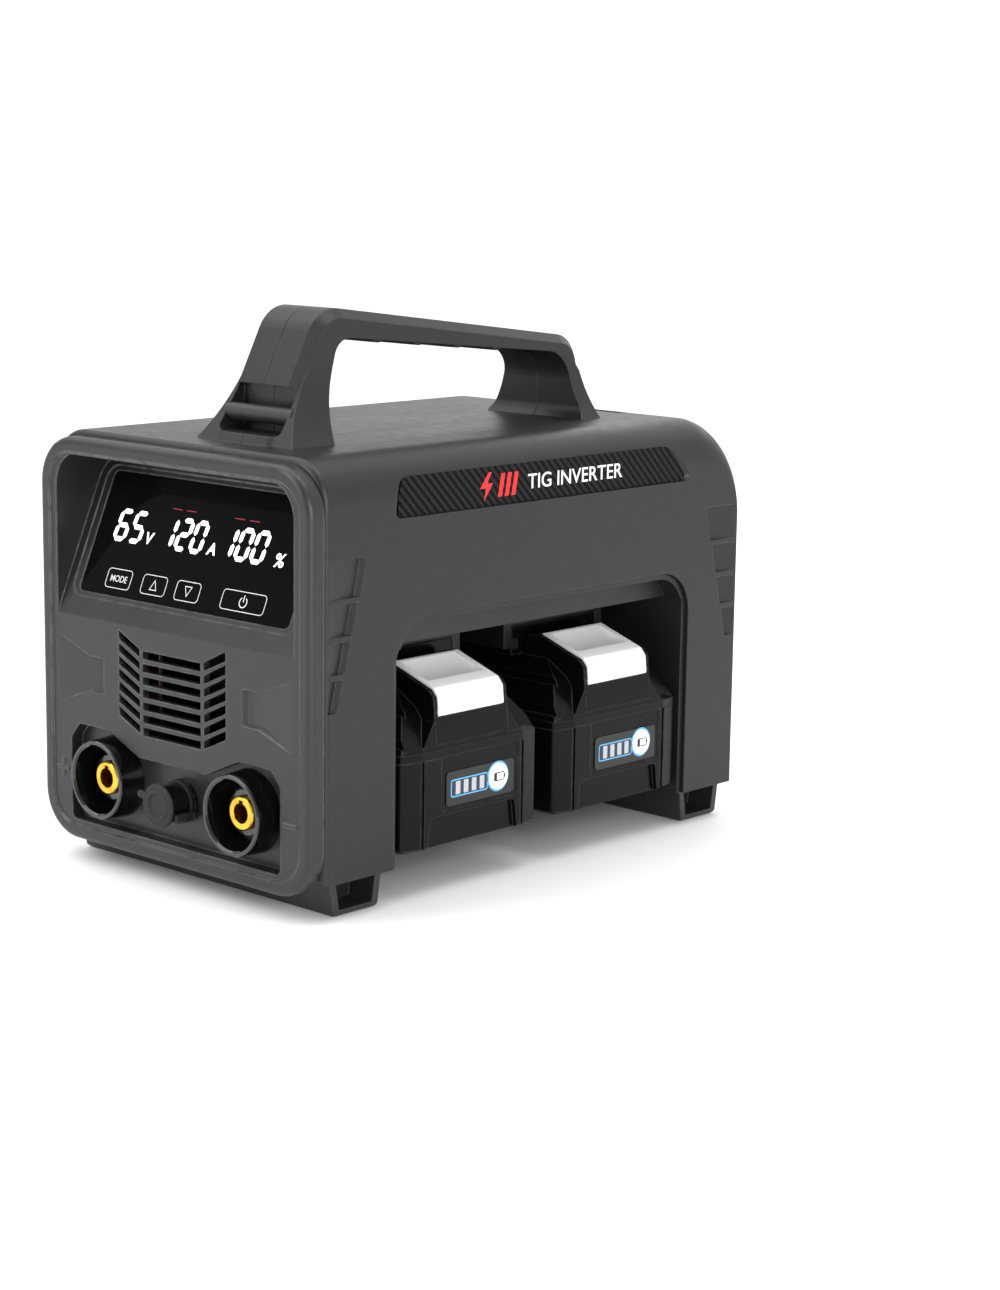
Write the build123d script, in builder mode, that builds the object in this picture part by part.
from build123d import *
import os
from math import cos, hypot, radians, sin, tan

os.makedirs("parts", exist_ok=True)

# A portable inverter welder that runs from two battery packs. Millimetres. The front panel faces -Y, the
# packs slide out to +X, and the origin is under the middle of the whole machine, on the surface it stands
# on. Depths are measured back from the front rim.

# --- driving dimensions -------------------------------------------------------------------------------

# case
case_width = 180.0
case_length = 288.0
case_top = 199.5
case_wall = 3.6
case_side_round = 20.0
case_bottom_round = 5.0
case_rear_round = 28.0
foot_height = 17.0
shell_front = 8.6
shell_front_round = 3.0
seam_x = 17.5
seam_gap = 0.3
fit_gap = 0.3
bore_gap = 0.05

# front panel
panel_bottom = 10.5
panel_drop = 2.5
panel_round = 22.0
panel_rim = 7.0
panel_rim_round = 3.2
panel_face = 1.0
panel_wall = 3.6
panel_band = 8.2

# display
display_depth = 6.5
display_foot = 126.5
display_tilt = 23.0
display_half_width = 69.8
display_height = 57.4
display_glass = 2.0
display_border = 4.6
display_lip = 0.8
display_seat_lift = 0.36
display_seat_gap = 0.2
display_floor_wall = 3.0
display_round = 3.2
display_border_round = 7.0
display_border_height = 2.75
display_ledge = 6.0
display_room = 8.0
display_post_inset = 7.0
display_post = 3.0
recess_half_width = 79.0
recess_top = 189.5
recess_round = 16.0
recess_ceiling_fall = 0.18

# grille
grille_rows = 7
grille_pitch = 5.8
grille_slot = 3.7
grille_inner = 19.6
grille_rib = 1.8
grille_outer = 36.0
grille_top = 105.5
grille_rise = 7.0

# shallow flats beside the grille
flat_inner = 49.0
flat_outer = 78.0
flat_low = 74.0
flat_high = 106.0
flat_taper = 8.0
flat_step = 2.5
flat_depth = 2.0

# sockets and control connector
socket_spacing = 91.0
socket_height = 43.0
socket_proud = 5.4
socket_radius = 18.0
socket_wall = 2.4
socket_tube = 10.2
socket_tube_front = 13.0
socket_flange = 1.6
socket_tube_step = 2.4
insert_radius = 7.7
insert_bore = 4.55
insert_bore_depth = 28.0
insert_front = 0.9
stud_radius = 5.0
stud_length = 14.0
stud_gap = 0.02
key_width = 2.6
key_height = 2.2
insert_chamfer = 0.6
nut_half_across = 8.5
nut_thickness = 5.0
busbar_thickness = 2.0
busbar_half_width = 7.0
busbar_end = 9.0
busbar_landing = 10.0
well_floor = 7.5
well_side_margin = 7.0
well_low_margin = 5.0
well_top_margin = 4.5
well_dip_margin = 6.8
well_dip_clear = 5.0
well_corner_side = 6.0
well_corner_drop = 7.0
well_corner_round = 3.0
mark_length = 8.5
mark_width = 1.8
mark_reach = 6.0
mark_height = 0.6
socket_rear = 16.0
connector_height = 39.5
connector_radius = 8.5
connector_bore = 6.5
connector_flange = 1.5
connector_flange_thickness = 1.6
connector_core = 7.0
connector_tail = 10.0
cap_proud = 8.4
cap_radius = 10.0
cap_thickness = 2.0
cap_plug = 4.5
cap_tab_length = 5.0
cap_tab_width = 3.4
cap_tab_thickness = 1.2
cap_tab_lift = 3.6
tether_gap = 0.06
tether_width = 1.5
tether_front = 2.0
tether_thickness = 1.8
tether_drop = 4.2
tether_tab_radius = 1.7
tether_strap_width = 1.4
tether_strap_height = 3.0

# battery bay and packs
pack_width = 89.0
pack_gap = 12.0
pack_length = 115.0
pack_face = 89.0
pack_bottom = 21.5
pack_seam = 62.0
pack_shoulder = 68.0
pack_deck = 91.0
pack_top = 101.0
pack_brow = 88.0
pack_wall = 2.6
pack_round = 3.0
pack_corner_width = 12.0
pack_corner_set_back = 2.2
pack_groove = 2.0
pack_groove_depth = 1.6
pack_foot_depth = 2.4
pack_end_room = 2.0
pack_sole_chamfer = 1.2
pack_lid_chamfer = 2.2
shoulder_low = 27.0
shoulder_rise = 13.5
bay_front = 50.05
bay_front_margin = 7.25
bay_rear_margin = 4.25
bay_top = 128.0
bay_front_round = 24.0
bay_rear_round = 20.0
bay_flange = 5.5
bay_flange_thickness = 2.4
bay_ceiling = 114.0
bay_mouth_set_back = 2.0
bay_lip_x = 75.0
bay_liner_wall = 2.6
bay_end_gap = 6.0

# release button
button_half_width = 21.0
button_back = 57.5
button_low = 80.3
button_thickness = 3.6
button_cheek = 2.5
button_side_gap = 0.35
button_pivot_radius = 1.5
scoop_radius = 30.0
scoop_depth = 1.5
scoop_end = 3.0
button_fall = 2.0

# pack rails and docks
rail_half_width = 30.0
rail_front = 50.0
rail_top = 104.0
rail_groove = 3.6
rail_groove_depth = 4.0
rail_step = 2.2
rail_groove_room = 1.2
dock_gap = 0.35
dock_wall = 5.0
blade_thickness = 0.9
blade_pitch = 11.0
blade_count = 4
blade_length = 20.0
blade_reach = 12.0
blade_lift = 0.8
slot_step = 1.5
contact_slot_width = 3.4
contact_slot_length = 28.0
clip_width = 3.2
clip_length = 16.0
clip_height = 7.0
clip_thickness = 0.6

# gauge
gauge_low = 39.0
gauge_high = 54.7
gauge_left = -17.5
gauge_right = 26.5
gauge_label = 0.5
gauge_margin = 3.0
gauge_button_radius = 6.2
gauge_button_gap = 0.08
gauge_button_depth = 3.2
gauge_button_length = 2.9
gauge_button_seat = 2.0
gauge_button_round = 0.7
gauge_button_y = 15.9
gauge_button_z = 47.8

# cells
cell_radius = 9.15
cell_lift = 1.2
cell_gap = 0.02
cell_end_room = 9.4
cell_holder = 6.0
cell_holder_overhang = 2.0
cell_pitch = 18.9
cell_columns = 5
cell_layers = 2

# handle
handle_half_width = 20.0
handle_foot_half_width = 31.0
handle_front = 26.5
handle_peak_depth = 58.0
handle_peak = 258.8
handle_tail_depth = 226.0
handle_tail = 238.4
handle_rear = 236.5
handle_inner_front = 55.0
handle_inner_rear = 219.0
handle_inner_peak = 245.0
handle_inner_tail = 231.0
handle_shoulder = 11.5
handle_flare_top = 232.0
handle_outer_rounds = [0, 17, 15, 0]
handle_inner_rounds = [0, 5, 9, 15, 6, 0]
handle_flare_share = 0.34
handle_flare_lift = 13.0
handle_flare_slope = 0.75
handle_band = 4.2
handle_wall = 3.5
slot_depth = 260.5
slot_length = 44.0
slot_width = 7.5
slot_drop = 8.0
ridge_depths = [96.0, 122.0, 148.0, 174.0]
ridge_radius = 4.6
ridge_height = 1.3
strap_pocket_half_width = 19.0
strap_pocket_low = 203.5
strap_pocket_high = 224.5
strap_pocket_depth = 16.0
strap_bar_radius = 4.0
strap_bar_set_back = 13.5
strap_bar_lift = 8.0
strap_bar_seat = 2.5

# side labels
label_low = 171.5
label_high = 193.0
label_front = 51.0
label_rear = 252.0
label_slant = 16.0
label_recess = 2.0
label_thickness = 0.8
label_chamfer = 3.4
label_gap = 0.35
label_rim_rounds = [3, 8, 16, 3]
label_floor_rounds = [2.5, 6, 13, 2.5]

# side grip ribs: rearward reach, lower edge and upper edge of each pocket
rib_pockets = [(33.0, 140.5, 157.0), (28.0, 124.5, 138.3), (24.0, 108.5, 122.0), (19.5, 92.0, 106.0)]
rib_depth = 2.4
rib_slant = 3.4
rib_edge = 2.2
rib_margin = 1.2

# feet
foot_front = 17.5
foot_rear = 48.4
foot_lean = 2.4
foot_half_length = 84.0
foot_wall = 3.0
foot_pocket = 15.0
foot_round = 2.5
foot_screw_x = 50.0
foot_post = 4.5

# cooling and power electronics
fan_size = 70.0
fan_depth = 20.0
fan_x = -20.0
fan_height = 143.0
fan_hub = 14.0
fan_blades = 7
fan_shaft = 2.0
fan_wall = 3.0
fan_guard = 2.5
fan_blade_width = 2.4
board_thickness = 1.6
board_height = 124.0
outlet_half_width = 62.0
outlet_low = 32.0
outlet_high = 166.0
outlet_round = 8.0
outlet_flange = 2.0
outlet_overlap = 4.0
screw_radius = 2.0
screw_head_radius = 3.6
screw_head_height = 2.4
screw_gap = 0.3
case_screw_reach = 14.0
hex_radius = 1.7
hex_depth = 1.6
boss_radius = 5.0

# --- places worked out from them ----------------------------------------------------------------------

rim_to_centre = (case_length - cap_proud) / 2
half_width = case_width / 2
panel_top = case_top - panel_drop
display_plane_normal = (0, -cos(radians(display_tilt)), sin(radians(display_tilt)))
bay_rear = bay_front + bay_front_margin + 2 * pack_width + pack_gap + bay_rear_margin
pack_back = pack_face - pack_length
bay_end = pack_back - bay_end_gap
floor_edge = bay_end - bay_liner_wall - fit_gap
foot_screw_depths = [(foot_front + foot_rear) / 2 - 6.0, case_length - 8.0]
first_pack_depth = bay_front + bay_front_margin + pack_width / 2
pack_depths = [first_pack_depth + step * (pack_width + pack_gap) for step in range(2)]
cell_length = pack_width - 2 * pack_wall - 2 * cell_end_room
socket_x = socket_spacing / 2
well_half_width = socket_x + socket_radius + well_side_margin
well_bottom = socket_height - socket_radius - well_low_margin
well_top = socket_height + socket_radius + well_top_margin
well_dip = connector_height + cap_radius + well_dip_margin


def depth(distance):
    """Y of a place this far behind the front rim."""
    return distance - rim_to_centre


def facing(distance):
    """The upright plane this far behind the front rim, seen from the front."""
    return Plane.XZ.offset(-depth(distance))


def yz(points):
    """Side-view points, given as depth and height, as Y and Z."""
    return [(depth(d), z) for d, z in points]


display_plane = Plane(
    origin=(0, depth(display_depth), display_foot), x_dir=(1, 0, 0), z_dir=display_plane_normal
)
pack_centres = [depth(d) for d in pack_depths]


def save(piece, name):
    """Label a finished piece and write it."""
    piece.part.label = name
    export_step(piece.part, f"parts/{name}.step")


# --- case forms ---------------------------------------------------------------------------------------

def case_section(inset, top):
    """The case seen from the front, down from the given top, drawn in by inset."""
    low = foot_height + inset
    with Locations((0, (top + low) / 2)):
        outline = Rectangle(case_width - 2 * inset, top - low)
    fillet(outline.vertices().group_by(Axis.Y)[-1], case_side_round - inset)
    fillet(outline.vertices().group_by(Axis.Y)[0], case_bottom_round - inset)


def case_form(inset, front):
    """The case as a closed block from the front depth to the rounded rear, drawn in by inset all round."""
    turn = case_length - case_rear_round
    arc = case_rear_round - inset
    steps = 6
    with BuildPart() as form:
        with BuildSketch(facing(turn)):
            case_section(inset, case_top - inset)
        extrude(amount=turn - front)
    with BuildPart() as rear:
        for step in range(steps + 1):
            angle = radians(90 * step / steps)
            with BuildSketch(facing(turn + arc * sin(angle))):
                case_section(inset, case_top - case_rear_round + arc * cos(angle))
        loft()
    with BuildPart() as whole:
        add(form.part)
        add(rear.part)
    return whole


# --- handle -------------------------------------------------------------------------------------------

def handle_form():
    """The arched handle: its side outline, cut to its front outline, which flares out at the feet."""
    sink = case_wall / 2
    foot = case_top - sink
    outer = [
        (handle_front - 0.5, foot),
        (handle_peak_depth, handle_peak),
        (handle_tail_depth, handle_tail),
        (handle_rear + 0.5, foot),
    ]
    inner = [
        (handle_inner_front - 2, foot - 1),
        (handle_inner_front, case_top + 3),
        (handle_inner_front + handle_shoulder, handle_inner_peak),
        (handle_inner_rear, handle_inner_tail),
        (handle_inner_rear + 1.5, case_top + 4),
        (handle_inner_rear - 3, foot - 1),
    ]
    span = 2 * handle_foot_half_width + 10
    with BuildPart() as arch:
        with BuildSketch(Plane.YZ.offset(seam_x - handle_half_width)):
            with BuildLine():
                FilletPolyline(*yz(outer), radius=handle_outer_rounds, close=True)
            make_face()
        extrude(amount=2 * handle_half_width)
        crest = arch.edges().filter_by(Axis.X, reverse=True).filter_by(
            lambda edge: edge.center().Z > case_top + 1
        )
        chamfer(crest, handle_band)
    set_back = handle_band + 0.4
    with BuildPart() as feet:
        with BuildSketch(Plane.YZ.offset(seam_x - span / 2)):
            Polygon(
                *yz(
                    [
                        (handle_front + 1.0, foot),
                        (handle_front + set_back + 17.6, handle_flare_top),
                        (handle_rear - set_back - 12, handle_flare_top),
                        (handle_rear - set_back - 5, handle_flare_top - 10),
                        (handle_rear - set_back, foot),
                    ]
                ),
                align=None,
            )
        extrude(amount=span)
        with BuildSketch(facing(handle_rear + 5)):
            with BuildLine():
                left = seam_x - handle_half_width
                right = seam_x + handle_half_width
                flare = handle_foot_half_width - handle_half_width
                Line((left, handle_flare_top), (right, handle_flare_top))
                Spline(
                    (right, handle_flare_top),
                    (right + handle_flare_share * flare, case_top + handle_flare_lift),
                    (right + flare, case_top),
                    tangents=[(0, -1), (handle_flare_slope, -1)],
                )
                Line((right + flare, case_top), (right + flare + 1, foot))
                Line((right + flare + 1, foot), (left - flare - 1, foot))
                Line((left - flare - 1, foot), (left - flare, case_top))
                Spline(
                    (left - flare, case_top),
                    (left - handle_flare_share * flare, case_top + handle_flare_lift),
                    (left, handle_flare_top),
                    tangents=[(handle_flare_slope, 1), (0, 1)],
                )
            make_face()
        extrude(amount=handle_rear - handle_front + 10, mode=Mode.INTERSECT)
    with BuildPart() as body:
        add(arch.part)
        add(feet.part)
        with BuildSketch(Plane.YZ.offset(seam_x - span / 2)):
            with BuildLine():
                FilletPolyline(*yz(inner), radius=handle_inner_rounds, close=True)
            make_face()
        extrude(amount=span, mode=Mode.SUBTRACT)
    return body


def grip_line(distance):
    """Height of the underside of the grip."""
    run = handle_inner_rear - handle_inner_front - handle_shoulder
    fall = (handle_inner_peak - handle_inner_tail) / run
    return handle_inner_peak - (distance - handle_inner_front - handle_shoulder) * fall


# --- half shells --------------------------------------------------------------------------------------

def bay_outline():
    """The battery bay seen from the side, from below the case to its arched top."""
    return [
        (bay_front, foot_height - 10),
        (bay_front, bay_top),
        (bay_rear, bay_top),
        (bay_rear, foot_height - 10),
    ]


def bay_block(x_start, x_end, inset):
    """A block with the bay's outline drawn in by inset, between two places along X."""
    with BuildPart() as block:
        with BuildSketch(Plane.YZ.offset(x_start)):
            with BuildLine():
                rounds = [0, bay_front_round, bay_rear_round, 0]
                FilletPolyline(*yz(bay_outline()), radius=rounds, close=True)
            make_face()
            if inset:
                offset(amount=-inset)
        extrude(amount=x_end - x_start)
    return block


def label_outline(grow):
    """A side label seen from the side; grow sets its upper edge and ends out."""
    top = label_high - label_chamfer + grow
    return [
        (label_front + 1.0 - 0.6 * grow, label_low),
        (label_front + 3.0 - 0.5 * grow, top),
        (label_rear - label_slant + 0.8 * grow, top),
        (label_rear - 2 + 0.6 * grow, label_low),
    ]


def side_pockets(side):
    """Cutters for the label recess and the wedge-shaped grip pockets on one side (+1 right, -1 left)."""
    front_start = shell_front + rib_margin
    rear_start = case_length - rib_margin
    with BuildPart() as cut:
        with BuildSketch(Plane.YZ.offset(side * half_width)):
            with BuildLine():
                FilletPolyline(*yz(label_outline(label_chamfer)), radius=label_rim_rounds, close=True)
            make_face()
        with BuildSketch(Plane.YZ.offset(side * (half_width - label_recess))):
            with BuildLine():
                FilletPolyline(*yz(label_outline(0)), radius=label_floor_rounds, close=True)
            make_face()
        loft()
        for reach, low, high in rib_pockets:
            rear_reach = case_length - reach + shell_front
            for begin, end in ((front_start, reach), (rear_start, rear_reach)):
                away = 1 if end > begin else -1
                for height, reach_end in ((low, end - away * rib_slant), (high, end)):
                    with BuildSketch(Plane.XY.offset(height)):
                        with BuildLine():
                            Polyline(
                                (side * (half_width + 1), depth(begin)),
                                (side * half_width, depth(begin)),
                                (side * (half_width - rib_depth), depth(reach_end - away * rib_edge)),
                                (side * half_width, depth(reach_end)),
                                (side * (half_width + 1), depth(reach_end)),
                                close=True,
                            )
                        make_face()
                loft()
    return cut


# depth and height of the four columns that hold the half shells together
upper_boss = label_low - boss_radius - 3.5
lower_boss = foot_height + case_wall + boss_radius - 1.5
upper_bosses = [(label_front - boss_radius, upper_boss), (label_rear + 2.0, upper_boss)]
lower_bosses = [(bay_front - 12.5, lower_boss), (case_length - 17.0, lower_boss)]
bosses = upper_bosses + lower_bosses


def strap_rod(extra, radius):
    """A round bar across the strap pocket, reaching into its walls by extra at each end."""
    with BuildPart() as rod:
        with BuildSketch(Plane.YZ.offset(seam_x - strap_pocket_half_width - extra)):
            with Locations((depth(handle_front + strap_bar_set_back), strap_pocket_low + strap_bar_lift)):
                Circle(radius)
        extrude(amount=2 * strap_pocket_half_width + 2 * extra)
    return rod


def foot_screw_places():
    """X and Y of the screws that hold the feet to the case."""
    return [(x, depth(d)) for x in (-foot_screw_x, foot_screw_x) for d in foot_screw_depths]


def whole_case():
    """Both half shells as one, before they are parted at the seam."""
    outer = case_form(0, shell_front)
    inner = case_form(case_wall, shell_front - 5)
    handle = handle_form()
    bay_hole = bay_block(bay_lip_x - fit_gap, half_width + 1, 0)
    bar_bore = strap_rod(strap_bar_seat + 0.2, strap_bar_radius + bore_gap)
    right_pockets = side_pockets(1)
    left_pockets = side_pockets(-1)
    with BuildPart() as case:
        add(outer.part)
        mouth = case.faces().sort_by(Axis.Y)[0].edges()
        fillet(mouth, shell_front_round)
        add(inner.part, mode=Mode.SUBTRACT)
        add(handle.part)
        # hollow of the grip
        hollow_start = handle_inner_front + 18
        hollow_end = handle_inner_rear - 12
        lift = handle_wall
        ceiling = handle_peak - grip_line(handle_peak_depth + 12) - 2.4 * handle_wall
        with BuildSketch(Plane.YZ.offset(seam_x - handle_half_width + handle_wall)):
            Polygon(
                *yz(
                    [
                        (hollow_start, grip_line(hollow_start) + lift),
                        (hollow_start, grip_line(hollow_start) + lift + ceiling),
                        (hollow_end, grip_line(hollow_end) + lift + ceiling - 3.4),
                        (hollow_end, grip_line(hollow_end) + lift),
                    ]
                ),
                align=None,
            )
        extrude(amount=2 * (handle_half_width - handle_wall), mode=Mode.SUBTRACT)
        # strap pocket in the sloping front of the handle
        with BuildSketch(facing(handle_front - 5)):
            with BuildLine():
                low_half = strap_pocket_half_width + 1.5
                FilletPolyline(
                    (seam_x - low_half, strap_pocket_low),
                    (seam_x + low_half, strap_pocket_low),
                    (seam_x + strap_pocket_half_width, strap_pocket_high),
                    (seam_x - strap_pocket_half_width, strap_pocket_high),
                    radius=3.0,
                    close=True,
                )
            make_face()
        pocket_reach = handle_front - 5 + strap_pocket_depth + 9
        extrude(amount=-(pocket_reach - handle_front + 5), mode=Mode.SUBTRACT)
        # finger ridges under the grip
        for distance in ridge_depths:
            with BuildSketch(Plane.YZ.offset(seam_x - handle_half_width + 5)):
                with Locations((depth(distance), grip_line(distance) + ridge_radius - ridge_height)):
                    Circle(ridge_radius)
            extrude(amount=2 * (handle_half_width - 5))
        # blind strap slot behind the handle
        with BuildSketch(Plane.XY.offset(case_top - case_wall / 2)):
            with Locations((seam_x, depth(slot_depth))):
                Rectangle(slot_length + 6, slot_width + 6)
        extrude(amount=-slot_drop - case_wall / 2)
        with BuildSketch(Plane.XY.offset(case_top + 1)):
            with Locations((seam_x, depth(slot_depth))):
                RectangleRounded(slot_length, slot_width, 2.5)
        extrude(amount=-slot_drop - 1, mode=Mode.SUBTRACT)
        # battery bay: through the right wall and the floor
        add(bay_hole.part, mode=Mode.SUBTRACT)
        with BuildSketch(Plane.XY.offset(foot_height - 1)):
            with Locations(((half_width + 1 + floor_edge) / 2, depth((bay_front + bay_rear) / 2))):
                Rectangle(half_width + 1 - floor_edge, bay_rear - bay_front)
        extrude(amount=case_wall + 2, mode=Mode.SUBTRACT)
        # holes for the foot screws
        with BuildSketch(Plane.XY.offset(foot_height - 1)):
            with Locations(*foot_screw_places()):
                Circle(screw_radius + screw_gap)
        extrude(amount=case_wall + 2, mode=Mode.SUBTRACT)
        # sockets for the ends of the strap bar
        add(bar_bore.part, mode=Mode.SUBTRACT)
        # air outlet in the rear wall
        with BuildSketch(facing(case_length + 1)):
            with Locations((0, (outlet_low + outlet_high) / 2)):
                RectangleRounded(2 * outlet_half_width, outlet_high - outlet_low, outlet_round)
        extrude(amount=case_wall + 2, mode=Mode.SUBTRACT)
        add(right_pockets.part, mode=Mode.SUBTRACT)
        add(left_pockets.part, mode=Mode.SUBTRACT)
    return case


def screw_rods(places, x_start, x_end, radius):
    """A round rod at each of the given depths and heights, between two places along X."""
    with BuildPart() as rods:
        with BuildSketch(Plane.YZ.offset(x_start)):
            with Locations(*yz(places)):
                Circle(radius)
        extrude(amount=x_end - x_start)
    return rods


case = whole_case()
screw_seat = seam_x - case_screw_reach
screw_end = seam_x + case_screw_reach
left_edge = seam_x - seam_gap / 2
right_edge = seam_x + seam_gap / 2

left_columns = screw_rods(bosses, -half_width + case_wall / 2, left_edge, boss_radius)
left_wells = screw_rods(bosses, -half_width - 1, screw_seat, screw_head_radius + 0.4)
left_holes = screw_rods(bosses, screw_seat - 1, left_edge + 1, screw_radius + screw_gap)
right_columns = screw_rods(upper_bosses, right_edge, half_width - case_wall / 2, boss_radius)
right_stubs = screw_rods(lower_bosses, right_edge, screw_end + 4, boss_radius)
right_holes = screw_rods(bosses, right_edge - 1, screw_end + 1, screw_radius)

with BuildPart() as shell_left:
    add(case.part)
    split(bisect_by=Plane.YZ.offset(left_edge), keep=Keep.BOTTOM)
    add(left_columns.part)
    add(left_wells.part, mode=Mode.SUBTRACT)
    add(left_holes.part, mode=Mode.SUBTRACT)
save(shell_left, "shell_left")

with BuildPart() as shell_right:
    add(case.part)
    split(bisect_by=Plane.YZ.offset(right_edge), keep=Keep.TOP)
    add(right_columns.part)
    add(right_stubs.part)
    add(right_holes.part, mode=Mode.SUBTRACT)
save(shell_right, "shell_right")

with BuildPart() as case_screws:
    with BuildSketch(Plane.YZ.offset(screw_seat - screw_head_height)):
        with Locations(*yz(bosses)):
            Circle(screw_head_radius)
    extrude(amount=screw_head_height)
    with BuildSketch(Plane.YZ.offset(screw_seat)):
        with Locations(*yz(bosses)):
            Circle(screw_radius)
    extrude(amount=screw_end - screw_seat)
    with BuildSketch(Plane.YZ.offset(screw_seat - screw_head_height)):
        with Locations(*yz(bosses)):
            RegularPolygon(hex_radius, 6)
    extrude(amount=hex_depth, mode=Mode.SUBTRACT)
save(case_screws, "case_screws")

strap_bar = strap_rod(strap_bar_seat, strap_bar_radius)
save(strap_bar, "strap_bar")


# --- side labels --------------------------------------------------------------------------------------

def side_label(side):
    """A thin printed strip lying on the floor of the label recess."""
    with BuildPart() as label:
        with BuildSketch(Plane.YZ.offset(side * (half_width - label_recess))):
            with BuildLine():
                FilletPolyline(*yz(label_outline(0)), radius=label_floor_rounds, close=True)
            make_face()
            offset(amount=-label_gap, kind=Kind.INTERSECTION)
        extrude(amount=side * label_thickness)
    return label


save(side_label(1), "label_right")
save(side_label(-1), "label_left")


# --- front panel --------------------------------------------------------------------------------------

def panel_outline(inset, radius):
    """The front panel seen from the front, drawn in by inset."""
    with Locations((0, (panel_top + panel_bottom) / 2)):
        RectangleRounded(case_width - 2 * inset, panel_top - panel_bottom - 2 * inset, radius)


def well_outline(grow):
    """The recess round the sockets: raised over each socket, dipped between them."""
    side = well_half_width + grow
    top = well_top + grow
    shoulder = socket_x - 2.0 + 0.4 * grow
    dip = socket_x - socket_radius - well_dip_clear - 0.4 * grow
    return [
        (-side, well_bottom - grow),
        (side, well_bottom - grow),
        (side, top - well_corner_drop),
        (side - well_corner_side, top),
        (shoulder, top),
        (dip, well_dip + grow),
        (-dip, well_dip + grow),
        (-shoulder, top),
        (-side + well_corner_side, top),
        (-side, top - well_corner_drop),
    ]


def tilted_depth(height, lift):
    """Depth of the tilted display face at a height, lifted forward off it by lift."""
    run = (height - display_foot) * tan(radians(display_tilt))
    return display_depth + run - lift / cos(radians(display_tilt))


def display_cut():
    """The hooded recess over the display: a sloping floor, a ceiling and rounded upper corners."""
    low = display_foot - (tilted_depth(display_foot, display_lip) - panel_face) / tan(radians(display_tilt))
    deep = 31.0
    deep_top = recess_top - recess_ceiling_fall * deep
    with BuildPart() as cut:
        with BuildSketch(Plane.YZ.offset(-recess_half_width - 1)):
            Polygon(
                *yz(
                    [
                        (panel_face, low),
                        (tilted_depth(deep_top, display_lip), deep_top),
                        (-1, recess_top),
                        (-1, low),
                    ]
                ),
                align=None,
            )
        extrude(amount=2 * recess_half_width + 2)
        with BuildSketch(facing(60)):
            with BuildLine():
                side = recess_half_width
                FilletPolyline(
                    (-side, low - 10),
                    (side, low - 10),
                    (side, recess_top + 0.5),
                    (-side, recess_top + 0.5),
                    radius=[0, 0, recess_round, recess_round],
                    close=True,
                )
            make_face()
        extrude(amount=70, mode=Mode.INTERSECT)
    return cut


def grille_slot_cut(row):
    """One row of the grille: a level slot with a wing rising at each end."""
    high = grille_top - row * grille_pitch
    low = high - grille_slot
    wing = grille_inner + grille_rib
    with Locations((0, (high + low) / 2)):
        Rectangle(2 * grille_inner, grille_slot)
    for side in (1, -1):
        corners = [
            (side * wing, low + 0.5),
            (side * grille_outer, low + grille_rise),
            (side * grille_outer, high + grille_rise + 0.4),
            (side * wing, high + 0.5),
        ]
        Polygon(*corners, align=None)


def panel_envelope():
    """The room the front panel may fill: its own band in front, the inside of the shells behind."""
    with BuildPart() as room:
        with BuildSketch(facing(panel_band)):
            panel_outline(0, panel_round)
        extrude(amount=panel_band + 10)
        with BuildSketch(facing(80)):
            case_section(case_wall + fit_gap, case_top - case_wall - fit_gap)
        extrude(amount=80 - panel_band + 0.5)
    return room


def flat_cut(side):
    """A shallow wedge beside the grille, deepest at its inner edge, its ends spreading towards the rim."""
    proud = 0.6
    with BuildPart() as cut:
        with BuildSketch(Plane.XY.offset(flat_low)):
            with BuildLine():
                Polyline(
                    (side * (flat_inner - flat_step), depth(panel_face)),
                    (side * flat_inner, depth(panel_face + flat_depth)),
                    (side * flat_outer, depth(panel_face)),
                    (side * flat_outer, depth(panel_face - proud)),
                    (side * (flat_inner - flat_step), depth(panel_face - proud)),
                    close=True,
                )
            make_face()
        extrude(amount=flat_high - flat_low)
        with BuildSketch(facing(panel_face + flat_depth + 1)):
            Polygon(
                (side * (flat_inner - flat_step), flat_low + flat_taper),
                (side * (flat_inner + flat_taper), flat_low + flat_taper),
                (side * (flat_outer + 1), flat_low),
                (side * (flat_outer + 1), flat_high),
                (side * (flat_inner + flat_taper), flat_high - flat_taper),
                (side * (flat_inner - flat_step), flat_high - flat_taper),
                align=None,
            )
        extrude(amount=flat_depth + 4, mode=Mode.INTERSECT)
    return cut


hooded_recess = display_cut()
panel_room = panel_envelope()
flats = [flat_cut(side) for side in (1, -1)]
board_lift = display_glass + display_floor_wall + display_room
display_post_grid = (
    2 * (display_half_width - display_post_inset),
    display_height - 2 * display_post_inset,
)

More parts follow.
